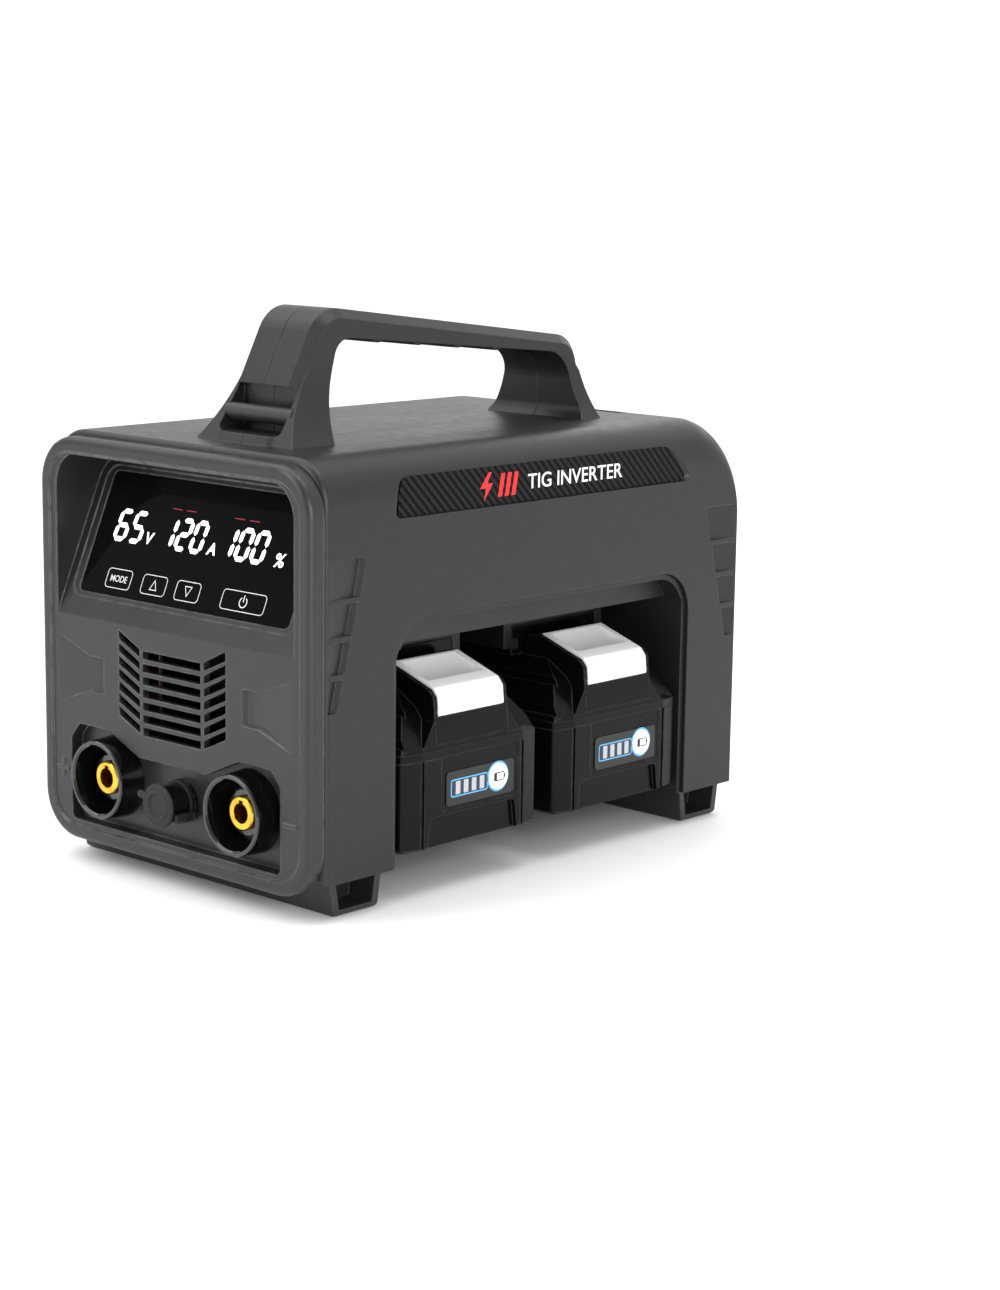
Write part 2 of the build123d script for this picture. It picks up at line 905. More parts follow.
with BuildPart() as front_panel:
    with BuildSketch(facing(panel_band)):
        panel_outline(0, panel_round)
    extrude(amount=panel_band)
    fillet(front_panel.faces().sort_by(Axis.Y)[0].edges(), panel_rim_round)
    with BuildSketch(facing(panel_band + 1)):
        panel_outline(panel_wall, panel_round - panel_wall)
    extrude(amount=panel_band + 1 - panel_face - panel_wall, mode=Mode.SUBTRACT)
    # face inside the rim
    with BuildSketch(facing(panel_face)):
        panel_outline(panel_rim, panel_round - panel_rim)
    extrude(amount=panel_face + 1, taper=-20, mode=Mode.SUBTRACT)
    # hood behind the display
    tub_low = display_foot - 12
    tub_high = recess_top + panel_wall
    back_lift = -display_glass - display_floor_wall
    with BuildSketch(Plane.YZ.offset(-recess_half_width - panel_wall)):
        Polygon(
            *yz(
                [
                    (panel_face + 1, tub_low),
                    (tilted_depth(tub_low, back_lift) + 3, tub_low),
                    (tilted_depth(tub_high, back_lift), tub_high - 4),
                    (tilted_depth(tub_high, back_lift), tub_high),
                    (panel_face + 1, tub_high),
                ]
            ),
            align=None,
        )
    extrude(amount=2 * (recess_half_width + panel_wall))
    add(hooded_recess.part, mode=Mode.SUBTRACT)
    # seat of the display window and the sunk border round it
    with BuildSketch(display_plane.offset(display_seat_lift)):
        with Locations((0, display_height / 2)):
            RectangleRounded(
                2 * (display_half_width + display_border),
                display_height + 2 * display_border_height,
                display_border_round,
            )
    extrude(amount=3, mode=Mode.SUBTRACT)
    with BuildSketch(display_plane.offset(display_lip)):
        with Locations((0, display_height / 2)):
            RectangleRounded(
                2 * (display_half_width + display_seat_gap),
                display_height + 2 * display_seat_gap,
                display_round,
            )
    extrude(amount=-display_lip - display_glass, mode=Mode.SUBTRACT)
    with BuildSketch(display_plane):
        with Locations((0, display_height / 2)):
            RectangleRounded(2 * (display_half_width - display_ledge), display_height - 10, 2)
    extrude(amount=-display_glass - display_floor_wall - 12, mode=Mode.SUBTRACT)
    # grille
    with BuildSketch(facing(panel_band + 1)):
        for row in range(grille_rows):
            grille_slot_cut(row)
    extrude(amount=panel_band + 2, mode=Mode.SUBTRACT)
    # well round the sockets
    with BuildSketch(facing(well_floor + panel_wall)):
        with BuildLine():
            FilletPolyline(*well_outline(panel_wall), radius=well_corner_round, close=True)
        make_face()
    extrude(amount=well_floor + panel_wall - panel_face - 1)
    with BuildSketch(facing(well_floor)):
        with BuildLine():
            FilletPolyline(*well_outline(0), radius=well_corner_round, close=True)
        make_face()
    extrude(amount=well_floor + 1, mode=Mode.SUBTRACT)
    # holes for the sockets and the connector
    with BuildSketch(facing(well_floor + panel_wall + 1)):
        with Locations((-socket_x, socket_height), (socket_x, socket_height)):
            Circle(socket_radius - socket_flange + 0.1)
        with Locations((0, connector_height)):
            Circle(connector_radius - 0.5)
    extrude(amount=panel_wall + 2, mode=Mode.SUBTRACT)
    # shallow angled flats beside the grille
    for flat in flats:
        add(flat.part, mode=Mode.SUBTRACT)
    # raised plus and minus beside the sockets
    with BuildSketch(facing(panel_face + 0.5)):
        for side in (1, -1):
            with Locations((side * (well_half_width + mark_reach), socket_height)):
                Rectangle(mark_length, mark_width)
        with Locations((-well_half_width - mark_reach, socket_height)):
            Rectangle(mark_width, mark_length)
    extrude(amount=mark_height + 0.5)
    # posts for the control board
    with BuildSketch(display_plane.offset(-board_lift)):
        with Locations((0, display_height / 2)):
            with GridLocations(*display_post_grid, 2, 2):
                Circle(display_post)
    extrude(amount=board_lift - display_glass - 1.5)
    add(panel_room.part, mode=Mode.INTERSECT)
save(front_panel, "front_panel")

with BuildPart() as display_window:
    with BuildSketch(display_plane):
        with Locations((0, display_height / 2)):
            RectangleRounded(2 * display_half_width, display_height, display_round - display_seat_gap)
    extrude(amount=-display_glass)
save(display_window, "display_window")

with BuildPart() as display_module:
    with BuildSketch(display_plane.offset(-display_glass - fit_gap)):
        with Locations((0, display_height / 2)):
            Rectangle(2 * (display_half_width - display_post_inset), display_height - 12)
            with GridLocations(*display_post_grid, 2, 2):
                Circle(display_post + 1, mode=Mode.SUBTRACT)
    extrude(amount=-board_lift + display_glass + fit_gap)
save(display_module, "display_module")

control_board_plane = display_plane.offset(-board_lift)
with BuildPart() as control_board:
    with BuildSketch(control_board_plane):
        with Locations((0, display_height / 2 - 2)):
            Rectangle(2 * display_half_width - 6, display_height - 4)
    extrude(amount=-board_thickness)
    with BuildSketch(control_board_plane.offset(-board_thickness)):
        with Locations((-40, 18), (-14, 30), (16, 14), (44, 34)):
            Rectangle(12, 9)
    extrude(amount=-2.2)
save(control_board, "control_board")


# --- welding sockets ----------------------------------------------------------------------------------

def socket_body(x):
    """The insulating collar of a welding socket, turned about its axis, seated on the well floor."""
    back_nut = well_floor + panel_wall
    rear = back_nut + socket_rear
    profile = [
        (insert_radius + bore_gap, insert_front + socket_tube_step),
        (socket_tube, insert_front + socket_tube_step),
        (socket_tube, socket_tube_front),
        (socket_radius - socket_wall, socket_tube_front),
        (socket_radius - socket_wall, -socket_proud + 0.8),
        (socket_radius - socket_flange, -socket_proud),
        (socket_radius - 0.5, -socket_proud),
        (socket_radius, -socket_proud + 0.6),
        (socket_radius + 0.9, well_floor),
        (socket_radius - socket_flange, well_floor),
        (socket_radius - socket_flange, back_nut),
        (socket_radius - socket_flange, rear),
        (insert_radius + bore_gap, rear),
    ]
    axis_plane = Plane(origin=(x, depth(0), socket_height), x_dir=(1, 0, 0), z_dir=(0, 0, 1))
    with BuildPart() as body:
        with BuildSketch(axis_plane):
            Polygon(*profile, align=None)
        revolve(axis=Axis((x, 0, socket_height), (0, 1, 0)))
    return body


def socket_insert(x):
    """The brass insert: a bored front with a key slot at the top of its bore, and a stud behind."""
    flange_end = well_floor + panel_wall + socket_rear
    stud_end = flange_end + stud_length
    with BuildPart() as insert:
        with BuildSketch(facing(insert_front)):
            with Locations((x, socket_height)):
                Circle(insert_radius)
        extrude(amount=-(flange_end - insert_front))
        with BuildSketch(facing(flange_end)):
            with Locations((x, socket_height)):
                Circle(stud_radius)
        extrude(amount=-(stud_end - flange_end))
        with BuildSketch(facing(insert_front)):
            with Locations((x, socket_height)):
                Circle(insert_bore)
            with Locations((x, socket_height + insert_bore)):
                Rectangle(key_width, key_height)
        extrude(amount=-insert_bore_depth, mode=Mode.SUBTRACT)
        front_edges = insert.edges().filter_by(GeomType.CIRCLE).filter_by(
            lambda edge: abs(edge.center().Y - depth(insert_front)) < 0.5
        )
        chamfer(front_edges.filter_by(lambda edge: edge.radius > insert_radius - 0.1), insert_chamfer)
    return insert


for socket_name, x in (("positive", -socket_x), ("negative", socket_x)):
    save(socket_body(x), f"{socket_name}_socket")
    save(socket_insert(x), f"{socket_name}_insert")

socket_stud_start = well_floor + panel_wall + socket_rear

with BuildPart() as socket_nuts:
    with BuildSketch(facing(socket_stud_start + busbar_thickness)):
        with Locations((-socket_x, socket_height), (socket_x, socket_height)):
            RegularPolygon(nut_half_across, 6, major_radius=False)
            Circle(stud_radius + stud_gap, mode=Mode.SUBTRACT)
    extrude(amount=-nut_thickness)
save(socket_nuts, "socket_nuts")


def busbar(x, board_edge):
    """A copper strap from a socket's stud up over the battery bay to the power board."""
    thickness = busbar_thickness
    front = socket_stud_start
    high = board_height + board_thickness
    with BuildPart() as strap:
        with BuildSketch(Plane.YZ.offset(x - busbar_half_width)):
            Polygon(
                *yz(
                    [
                        (front, socket_height - busbar_end),
                        (front + thickness, socket_height - busbar_end),
                        (front + thickness, high),
                        (board_edge, high),
                        (board_edge, high + thickness),
                        (front, high + thickness),
                    ]
                ),
                align=None,
            )
        extrude(amount=2 * busbar_half_width)
        with BuildSketch(facing(front + thickness + 1)):
            with Locations((x, socket_height)):
                Circle(stud_radius + screw_gap)
        extrude(amount=thickness + 2, mode=Mode.SUBTRACT)
    return strap


board_front = 62.0
save(busbar(-socket_x, board_front + busbar_landing), "positive_busbar")
save(busbar(socket_x, board_front + busbar_landing), "negative_busbar")


# --- control connector --------------------------------------------------------------------------------

connector_axis = Axis((0, 0, connector_height), (0, 1, 0))
connector_plane = Plane(origin=(0, depth(0), connector_height), x_dir=(1, 0, 0), z_dir=(0, 0, 1))
connector_mouth = -cap_proud + cap_thickness + fit_gap
connector_rear = well_floor + panel_wall + connector_tail

with BuildPart() as control_connector:
    with BuildSketch(connector_plane):
        Polygon(
            (0, connector_rear),
            (0, connector_mouth + connector_core),
            (connector_bore, connector_mouth + connector_core),
            (connector_bore, connector_mouth),
            (connector_radius, connector_mouth),
            (connector_radius, well_floor - connector_flange_thickness),
            (connector_radius + connector_flange, well_floor - connector_flange_thickness),
            (connector_radius + connector_flange, well_floor),
            (connector_radius - 0.6, well_floor),
            (connector_radius - 0.6, connector_rear),
            align=None,
        )
    revolve(axis=connector_axis)
save(control_connector, "control_connector")

cap_tab_x = -cap_radius - 1.0
with BuildPart() as connector_cap:
    with BuildSketch(connector_plane):
        Polygon(
            (0, -cap_proud + 0.7),
            (5.2, -cap_proud + 0.7),
            (5.6, -cap_proud),
            (6.8, -cap_proud),
            (7.2, -cap_proud + 0.5),
            (cap_radius - 0.8, -cap_proud + 0.5),
            (cap_radius, -cap_proud + 1.1),
            (cap_radius, -cap_proud + cap_thickness),
            (connector_bore - bore_gap, -cap_proud + cap_thickness),
            (connector_bore - bore_gap, connector_mouth + cap_plug),
            (0, connector_mouth + cap_plug),
            align=None,
        )
    revolve(axis=connector_axis)
    with BuildSketch(facing(-cap_proud + cap_thickness)):
        with Locations((cap_tab_x, connector_height + cap_tab_lift)):
            SlotOverall(cap_tab_length, cap_tab_width)
    extrude(amount=cap_tab_thickness)
save(connector_cap, "connector_cap")

tether_ring = connector_radius + tether_gap
with BuildPart() as cap_tether:
    with BuildSketch(facing(well_floor - tether_front)):
        with Locations((0, connector_height)):
            Circle(tether_ring + tether_width)
            Circle(tether_ring, mode=Mode.SUBTRACT)
        with Locations((tether_ring + 1.8, connector_height - tether_drop)):
            Circle(tether_tab_radius)
    extrude(amount=tether_thickness)
    with BuildSketch(facing(well_floor - tether_front)):
        with Locations((tether_ring + 1.9, connector_height - tether_drop)):
            Rectangle(tether_strap_width, tether_strap_height)
    extrude(amount=well_floor - tether_front - connector_mouth - 0.2)
save(cap_tether, "cap_tether")


# --- battery bay --------------------------------------------------------------------------------------

liner_mouth = half_width - bay_mouth_set_back

funnel = bay_block(bay_lip_x, liner_mouth, fit_gap)
funnel_hollow = bay_block(bay_lip_x + bay_liner_wall, liner_mouth + 1, fit_gap + bay_liner_wall)

with BuildPart() as bay_liner:
    # arched funnel just inside the opening
    add(funnel.part)
    # chamber the packs stand in
    with BuildSketch(Plane.YZ.offset(bay_end - bay_liner_wall)):
        Polygon(
            *yz(
                [
                    (bay_front + fit_gap, foot_height),
                    (bay_front + fit_gap, bay_ceiling + bay_liner_wall),
                    (bay_rear - fit_gap, bay_ceiling + bay_liner_wall),
                    (bay_rear - fit_gap, foot_height),
                ]
            ),
            align=None,
        )
    extrude(amount=bay_lip_x - bay_end + bay_liner_wall)
    # flange that lies on the floor of the case
    flange_start = bay_end - bay_liner_wall - bay_flange
    with BuildSketch(Plane.XY.offset(foot_height + case_wall)):
        with Locations(((flange_start + bay_lip_x - bay_flange) / 2, depth((bay_front + bay_rear) / 2))):
            Rectangle(bay_lip_x - bay_flange - flange_start, bay_rear - bay_front + 2 * bay_flange)
    extrude(amount=bay_flange_thickness)
    # hollow of the funnel
    add(funnel_hollow.part, mode=Mode.SUBTRACT)
    # hollow of the chamber
    with BuildSketch(Plane.YZ.offset(bay_end)):
        Polygon(
            *yz(
                [
                    (bay_front + fit_gap + bay_liner_wall, foot_height - 11),
                    (bay_front + fit_gap + bay_liner_wall, bay_ceiling),
                    (bay_rear - fit_gap - bay_liner_wall, bay_ceiling),
                    (bay_rear - fit_gap - bay_liner_wall, foot_height - 11),
                ]
            ),
            align=None,
        )
    extrude(amount=bay_lip_x - bay_end + 20, mode=Mode.SUBTRACT)
    with BuildSketch(Plane.XY.offset(foot_height)):
        Rectangle(2 * case_width, 2 * case_length)
    extrude(amount=-30, mode=Mode.SUBTRACT)
save(bay_liner, "bay_liner")


# --- battery packs ------------------------------------------------------------------------------------

def pack_block(y, low, high):
    """The pack's plan raised between two heights; the face falls back towards its corners."""
    half = pack_width / 2
    middle = half - pack_corner_width
    corner_x = pack_face - pack_corner_set_back
    with BuildPart() as block:
        with BuildSketch(Plane.XY.offset(low)):
            with BuildLine():
                FilletPolyline(
                    (pack_back, y - half),
                    (corner_x, y - half),
                    (pack_face, y - middle),
                    (pack_face, y + middle),
                    (corner_x, y + half),
                    (pack_back, y + half),
                    radius=[pack_round, pack_round, 0, 0, pack_round, pack_round],
                    close=True,
                )
            make_face()
        extrude(amount=high - low)
    return block


def lower_case(y):
    """The open-topped lower case: corner pillars, a sunk foot panel and a sunk gauge seat on its face."""
    half = pack_width / 2
    centre_x = (pack_face + pack_back) / 2
    block = pack_block(y, pack_bottom, pack_seam)
    with BuildPart() as tray:
        add(block.part)
        chamfer(tray.faces().sort_by(Axis.Z)[0].edges(), pack_sole_chamfer)
        with BuildSketch(Plane.XY.offset(pack_bottom + pack_wall)):
            with Locations((centre_x, y)):
                Rectangle(pack_length - 2 * (pack_wall + pack_end_room), pack_width - 2 * pack_wall)
        extrude(amount=pack_seam - pack_bottom, mode=Mode.SUBTRACT)
        # sunk panel at the foot of the face
        with BuildSketch(Plane.YZ.offset(pack_face + 1)):
            with BuildLine():
                foot_panel = half - pack_corner_width - pack_groove
                FilletPolyline(
                    (y - foot_panel + 1, pack_bottom - 1),
                    (y + foot_panel - 1, pack_bottom - 1),
                    (y + foot_panel - 3, gauge_low - 3.5),
                    (y - foot_panel + 3, gauge_low - 3.5),
                    radius=[0, 0, 3, 3],
                    close=True,
                )
            make_face()
        extrude(amount=-1 - pack_foot_depth, mode=Mode.SUBTRACT)
        # grooves that part the corner pillars from the middle of the face
        for side in (1, -1):
            with BuildSketch(Plane.YZ.offset(pack_face + 1)):
                with Locations((y + side * (half - pack_corner_width), (pack_bottom + pack_seam) / 2)):
                    Rectangle(pack_groove, pack_seam - pack_bottom + 2)
            extrude(amount=-1 - pack_groove_depth, mode=Mode.SUBTRACT)
        # sunk panel that the gauge label lies on, open at the top
        with BuildSketch(Plane.YZ.offset(pack_face + 1)):
            with BuildLine():
                FilletPolyline(
                    (y + gauge_left - gauge_margin, gauge_low - gauge_margin / 2),
                    (y + gauge_right + gauge_margin, gauge_low - gauge_margin / 2),
                    (y + gauge_right + gauge_margin, pack_seam + 1),
                    (y + gauge_left - gauge_margin, pack_seam + 1),
                    radius=[1.5, 1.5, 0, 0],
                    close=True,
                )
            make_face()
        extrude(amount=-1 - gauge_label, mode=Mode.SUBTRACT)
        # bore of the gauge button
        with BuildSketch(Plane.YZ.offset(pack_face + 1)):
            with Locations((y + gauge_button_y, gauge_button_z)):
                Circle(gauge_button_radius + gauge_button_gap)
        extrude(amount=-1 - gauge_button_depth, mode=Mode.SUBTRACT)
        # sliding ribs along the sides
        for side in (1, -1):
            with BuildSketch(Plane.XY.offset(pack_seam - 9)):
                with Locations((centre_x - 8, y + side * (half - 0.4))):
                    Rectangle(pack_length - 30, 1.6)
            extrude(amount=-3, mode=Mode.SUBTRACT)
    return tray


def turret_profile(inset):
    """The raised middle of the pack seen from the side: sloping face, rounded brow, gently rising top."""
    return [
        (pack_face - 0.6 - inset, pack_seam + 6),
        (pack_face - button_fall - inset, button_low),
        (pack_face - 2.9 - inset, pack_brow + 1.0 - 0.4 * inset),
        (pack_face - 6.0 - inset, pack_brow + 4.2 - inset),
        (button_back, pack_top - inset),
    ]


def pack_shoulders(y):
    """Two stepped shoulders on each side, level behind and falling to the rim in front."""
    half = pack_width / 2
    turret_half = button_half_width + button_cheek
    step = half - pack_corner_width
    ridge = [
        (half - 3.0, pack_shoulder - 1.5),
        (half - 4.0, pack_shoulder + 4),
        (step + 1.5, pack_shoulder + 13),
        (step, pack_shoulder + 11.5),
        (step - 1.5, pack_shoulder + 16),
        (turret_half - 1, pack_deck),
    ]
    section = [(y - side, z) for side, z in ridge] + [(y + side, z) for side, z in reversed(ridge)]
    with BuildPart() as shoulders:
        with BuildSketch(Plane.YZ.offset(pack_back + 1.5)):
            Polygon(*section, align=None)
        extrude(amount=pack_length - 3.5)
        with BuildSketch(Plane.XZ.offset(-(y + half))):
            with BuildLine():
                FilletPolyline(
                    (pack_back, pack_shoulder - 3),
                    (pack_face - pack_corner_set_back, pack_shoulder - 3),
                    (pack_face - pack_corner_set_back - 0.4, pack_shoulder - 0.5),
                    (pack_face - shoulder_rise, pack_shoulder + 15),
                    (pack_face - shoulder_low, pack_deck),
                    (pack_face - shoulder_low - 12, pack_deck + 1),
                    (pack_back, pack_deck + 1),
                    radius=[0, 0, 1, 8, 8, 0, 0],
                    close=True,
                )
            make_face()
        extrude(amount=pack_width, mode=Mode.INTERSECT)
    return shoulders


def turret_hip(y):
    """The foot of the raised middle, spreading from its own width to the middle of the pack's face."""
    foot_half = pack_width / 2 - pack_corner_width - 1.0
    head_half = button_half_width + button_cheek - 0.3
    length = 24.0
    with BuildPart() as hip:
        for half_across, height, front in (
            (foot_half, pack_shoulder - 1, pack_face - 1.0),
            (head_half, button_low - 1.5, pack_face - 2.2),
        ):
            with BuildSketch(Plane.XY.offset(height)):
                with Locations((front - length / 2, y)):
                    Rectangle(length, 2 * half_across)
        loft()
    return hip


def upper_case(y):
    """The upper case: a rim, stepped shoulders, the raised middle with its button's well, two rails."""
    centre_x = (pack_face + pack_back) / 2
    turret_half = button_half_width + button_cheek
    well_half = button_half_width + button_side_gap
    rim = pack_block(y, pack_seam, pack_shoulder)
    shoulders = pack_shoulders(y)
    hip = turret_hip(y)
    with BuildPart() as lid:
        add(rim.part)
        chamfer(lid.faces().sort_by(Axis.Z)[-1].edges(), pack_lid_chamfer)
        add(shoulders.part)
        add(hip.part)
        # raised middle
        with BuildSketch(Plane.XZ.offset(-(y + turret_half))):
            with BuildLine():
                FilletPolyline(
                    (pack_back + 6, pack_seam + 4),
                    *turret_profile(0),
                    (rail_front + 1, pack_top - 1.0),
                    (rail_front - 2, pack_deck),
                    (pack_back + 6, pack_deck),
                    radius=[0, 0, 0, 2, 2, 0, 1, 0, 0],
                    close=True,
                )
            make_face()
        extrude(amount=2 * turret_half)
        # block with the two rail grooves
        rail_length = rail_front - pack_back - 2
        with BuildSketch(Plane.XY.offset(pack_deck - 1)):
            with Locations(((rail_front + pack_back - 2) / 2, y)):
                Rectangle(rail_length - 4, 2 * rail_half_width)
        extrude(amount=rail_top - pack_deck + 1)
        for side in (1, -1):
            with BuildSketch(Plane.XY.offset(pack_deck + rail_step)):
                with Locations(((rail_front + pack_back) / 2, y + side * rail_half_width)):
                    Rectangle(rail_length + 20, 2 * rail_groove_depth)
            extrude(amount=rail_groove + rail_groove_room, mode=Mode.SUBTRACT)
        # well of the release button
        with BuildSketch(Plane.XZ.offset(-(y + well_half))):
            with BuildLine():
                Polyline(
                    (pack_face + 3, button_low - 0.25),
                    (pack_face - button_fall - button_thickness - 0.5, button_low - 0.25),
                    (pack_face - 12.5, pack_brow - 2.0),
                    (button_back - 1.8, pack_deck - 1.0),
                    (button_back - 1.8, pack_top + 8),
                    (pack_face + 3, pack_top + 8),
                    close=True,
                )
            make_face()
        extrude(amount=2 * well_half, mode=Mode.SUBTRACT)
        # pivot bores in the cheeks
        with BuildSketch(Plane.XZ.offset(-(y + turret_half - 0.8))):
            with Locations((button_pivot_x, button_pivot_z)):
                Circle(button_pivot_radius + bore_gap)
        extrude(amount=2 * turret_half - 1.6, mode=Mode.SUBTRACT)
        # contact slots, open at the inner end and on top
        for slot in range(blade_count):
            with BuildSketch(Plane.XY.offset(pack_deck + slot_step)):
                with Locations((pack_back + blade_reach, y + (slot - (blade_count - 1) / 2) * blade_pitch)):
                    Rectangle(contact_slot_length, contact_slot_width)
            extrude(amount=rail_top - pack_deck + 2, mode=Mode.SUBTRACT)
        # hollow over the cells
        with BuildSketch(Plane.XY.offset(pack_seam - 1)):
            with Locations((centre_x, y)):
                Rectangle(pack_length - 2 * (pack_wall + pack_end_room), pack_width - 2 * pack_wall)
        extrude(amount=4.5, mode=Mode.SUBTRACT)
        with BuildSketch(Plane.XY.offset(pack_seam)):
            with Locations((centre_x - 8, y)):
                Rectangle(pack_length - 40, 2 * turret_half - 6)
        extrude(amount=pack_deck - pack_seam - 10, mode=Mode.SUBTRACT)
    return lid


button_pivot_x = pack_face - button_fall - button_thickness / 2
button_pivot_z = button_low + button_thickness / 2


def release_button(y):
    """The white release button: an angled cap over the brow, hinged at its foot, with a finger scoop."""
    skin = turret_profile(0)
    low_outer = (pack_face - 1.5, button_low)
    brow_outer = (pack_face - 2.4, pack_brow + 1.2)
    bend_outer = (pack_face - 5.4, pack_brow + 4.7)
    back_outer = (button_back, pack_top + 0.6)
    with BuildPart() as button:
        with BuildSketch(Plane.XZ.offset(-(y + button_half_width))):
            with BuildLine():
                FilletPolyline(
                    low_outer,
                    brow_outer,
                    bend_outer,
                    back_outer,
                    (button_back, skin[4][1] - button_thickness),
                    (bend_outer[0] - 3.2, bend_outer[1] - button_thickness - 1.2),
                    (brow_outer[0] - button_thickness, brow_outer[1] - 2),
                    (low_outer[0] - button_thickness, button_low),
                    radius=[1.2, 2.5, 2.5, 0.8, 0, 2, 2, 1.2],
                    close=True,
                )
            make_face()
        extrude(amount=2 * button_half_width)
        # finger scoop on the top
        run = bend_outer[0] - back_outer[0]
        rise = back_outer[1] - bend_outer[1]
        slant = hypot(run, rise)
        lift = scoop_radius - scoop_depth
        scoop_x = back_outer[0] + 0.42 * run + lift * rise / slant
        scoop_z = back_outer[1] - 0.42 * rise + lift * run / slant
        with BuildSketch(Plane.XZ.offset(-(y + button_half_width - scoop_end))):
            with Locations((scoop_x, scoop_z)):
                Circle(scoop_radius)
        extrude(amount=2 * (button_half_width - scoop_end), mode=Mode.SUBTRACT)
        # hinge pins
        with BuildSketch(Plane.XZ.offset(-(y + button_half_width + 1.5))):
            with Locations((button_pivot_x, button_pivot_z)):
                Circle(button_pivot_radius)
        extrude(amount=2 * button_half_width + 3)
    return button


def gauge_plate(y):
    """The printed gauge label, with a hole for its round button."""
    with BuildPart() as plate:
        with BuildSketch(Plane.YZ.offset(pack_face - gauge_label)):
            with Locations((y + (gauge_left + gauge_right) / 2, (gauge_low + gauge_high) / 2)):
                RectangleRounded(gauge_right - gauge_left, gauge_high - gauge_low, 2)
            with Locations((y + gauge_button_y, gauge_button_z)):
                Circle(gauge_button_radius + gauge_button_gap, mode=Mode.SUBTRACT)
        extrude(amount=gauge_label)
    return plate


def gauge_button(y):
    """The round gauge button, pressed inwards."""
    with BuildPart() as button:
        with BuildSketch(Plane.YZ.offset(pack_face - gauge_button_seat)):
            with Locations((y + gauge_button_y, gauge_button_z)):
                Circle(gauge_button_radius)
        extrude(amount=gauge_button_length)
        fillet(button.faces().sort_by(Axis.X)[-1].edges(), gauge_button_round)
    return button


def cell_rows():
    """X and Z of every cell's centre."""
    first_x = (pack_face + pack_back) / 2 - (cell_columns - 1) / 2 * cell_pitch
    first_z = pack_bottom + pack_wall + cell_lift + cell_radius
    return [
        (first_x + column * cell_pitch, first_z + layer * cell_pitch)
        for column in range(cell_columns)
        for layer in range(cell_layers)
    ]


def cells(y):
    """The round cells, lying across the pack."""
    with BuildPart() as stack:
        with BuildSketch(Plane.XZ.offset(-(y + cell_length / 2))):
            with Locations(*cell_rows()):
                Circle(cell_radius)
        extrude(amount=cell_length)
    return stack


def cell_holders(y):
    """The two perforated frames that hold the ends of the cells."""
    holder = cell_holder
    rows = cell_rows()
    middle_x = (rows[0][0] + rows[-1][0]) / 2
    middle_z = (rows[0][1] + rows[-1][1]) / 2
    with BuildPart() as frames:
        for side in (1, -1):
            inner_face = y + side * (cell_length / 2 - holder + cell_holder_overhang)
            start = inner_face + (holder if side > 0 else 0)
            with BuildSketch(Plane.XZ.offset(-start)):
                with Locations((middle_x, middle_z)):
                    Rectangle(cell_columns * cell_pitch + 3, cell_layers * cell_pitch + 1.2)
                with Locations(*rows):
                    Circle(cell_radius + cell_gap, mode=Mode.SUBTRACT)
            extrude(amount=holder)
    return frames


def contact_clips(y):
    """Spring clips in the pack's contact slots that the dock's blades slide into."""
    with BuildPart() as clips:
        for slot in range(blade_count):
            slot_y = y + (slot - (blade_count - 1) / 2) * blade_pitch
            with BuildSketch(Plane.XY.offset(pack_deck + slot_step)):
                with Locations((pack_back + blade_reach, slot_y)):
                    Rectangle(clip_length, clip_width)
            extrude(amount=clip_height)
            with BuildSketch(Plane.XY.offset(pack_deck + slot_step + clip_thickness)):
                with Locations((pack_back + blade_reach, slot_y)):
                    Rectangle(clip_length + 2, clip_width - 2 * clip_thickness)
            extrude(amount=clip_height + 1, mode=Mode.SUBTRACT)
    return clips


pack_pieces = {
    "lower_case": lower_case,
    "upper_case": upper_case,
    "release_button": release_button,
    "gauge_label": gauge_plate,
    "gauge_button": gauge_button,
    "cells": cells,
    "cell_holders": cell_holders,
    "contact_clips": contact_clips,
}
for number, pack_y in enumerate(pack_centres, start=1):
    for piece_name, make_piece in pack_pieces.items():
        save(make_piece(pack_y), f"pack_{number}_{piece_name}")


# --- docks --------------------------------------------------------------------------------------------

def dock(y):
    """The channel a pack hangs in: a top plate and two walls whose lips run in the pack's rail grooves."""
    gap = dock_gap
    inner = rail_half_width + gap
    outer = inner + dock_wall
    lip_low = pack_deck + rail_step + gap
    lip_high = pack_deck + rail_step + rail_groove + rail_groove_room - gap
    length = rail_front - bay_end - 4
    with BuildPart() as channel:
        with BuildSketch(Plane.YZ.offset(bay_end)):
            Polygon(
                (y - outer, lip_low),
                (y - rail_half_width + rail_groove_depth - gap, lip_low),
                (y - rail_half_width + rail_groove_depth - gap, lip_high),
                (y - inner, lip_high),
                (y - inner, rail_top + gap),
                (y + inner, rail_top + gap),
                (y + inner, lip_high),
                (y + rail_half_width - rail_groove_depth + gap, lip_high),
                (y + rail_half_width - rail_groove_depth + gap, lip_low),
                (y + outer, lip_low),
                (y + outer, bay_ceiling),
                (y - outer, bay_ceiling),
                align=None,
            )
        extrude(amount=length)
    return channel


def dock_blades(y):
    """The dock's contact blades, hanging into the pack's slots."""
    top = rail_top + dock_gap
    blade_low = pack_deck + slot_step + clip_thickness + blade_lift
    with BuildPart() as blades:
        for slot in range(blade_count):
            slot_y = y + (slot - (blade_count - 1) / 2) * blade_pitch
            with BuildSketch(Plane.XY.offset(blade_low)):
                with Locations((pack_back + blade_reach - 2, slot_y)):
                    Rectangle(blade_length, blade_thickness)
            extrude(amount=top - blade_low)
    return blades


for number, pack_y in enumerate(pack_centres, start=1):
    save(dock(pack_y), f"dock_{number}")
    save(dock_blades(pack_y), f"dock_{number}_blades")


# --- feet ---------------------------------------------------------------------------------------------

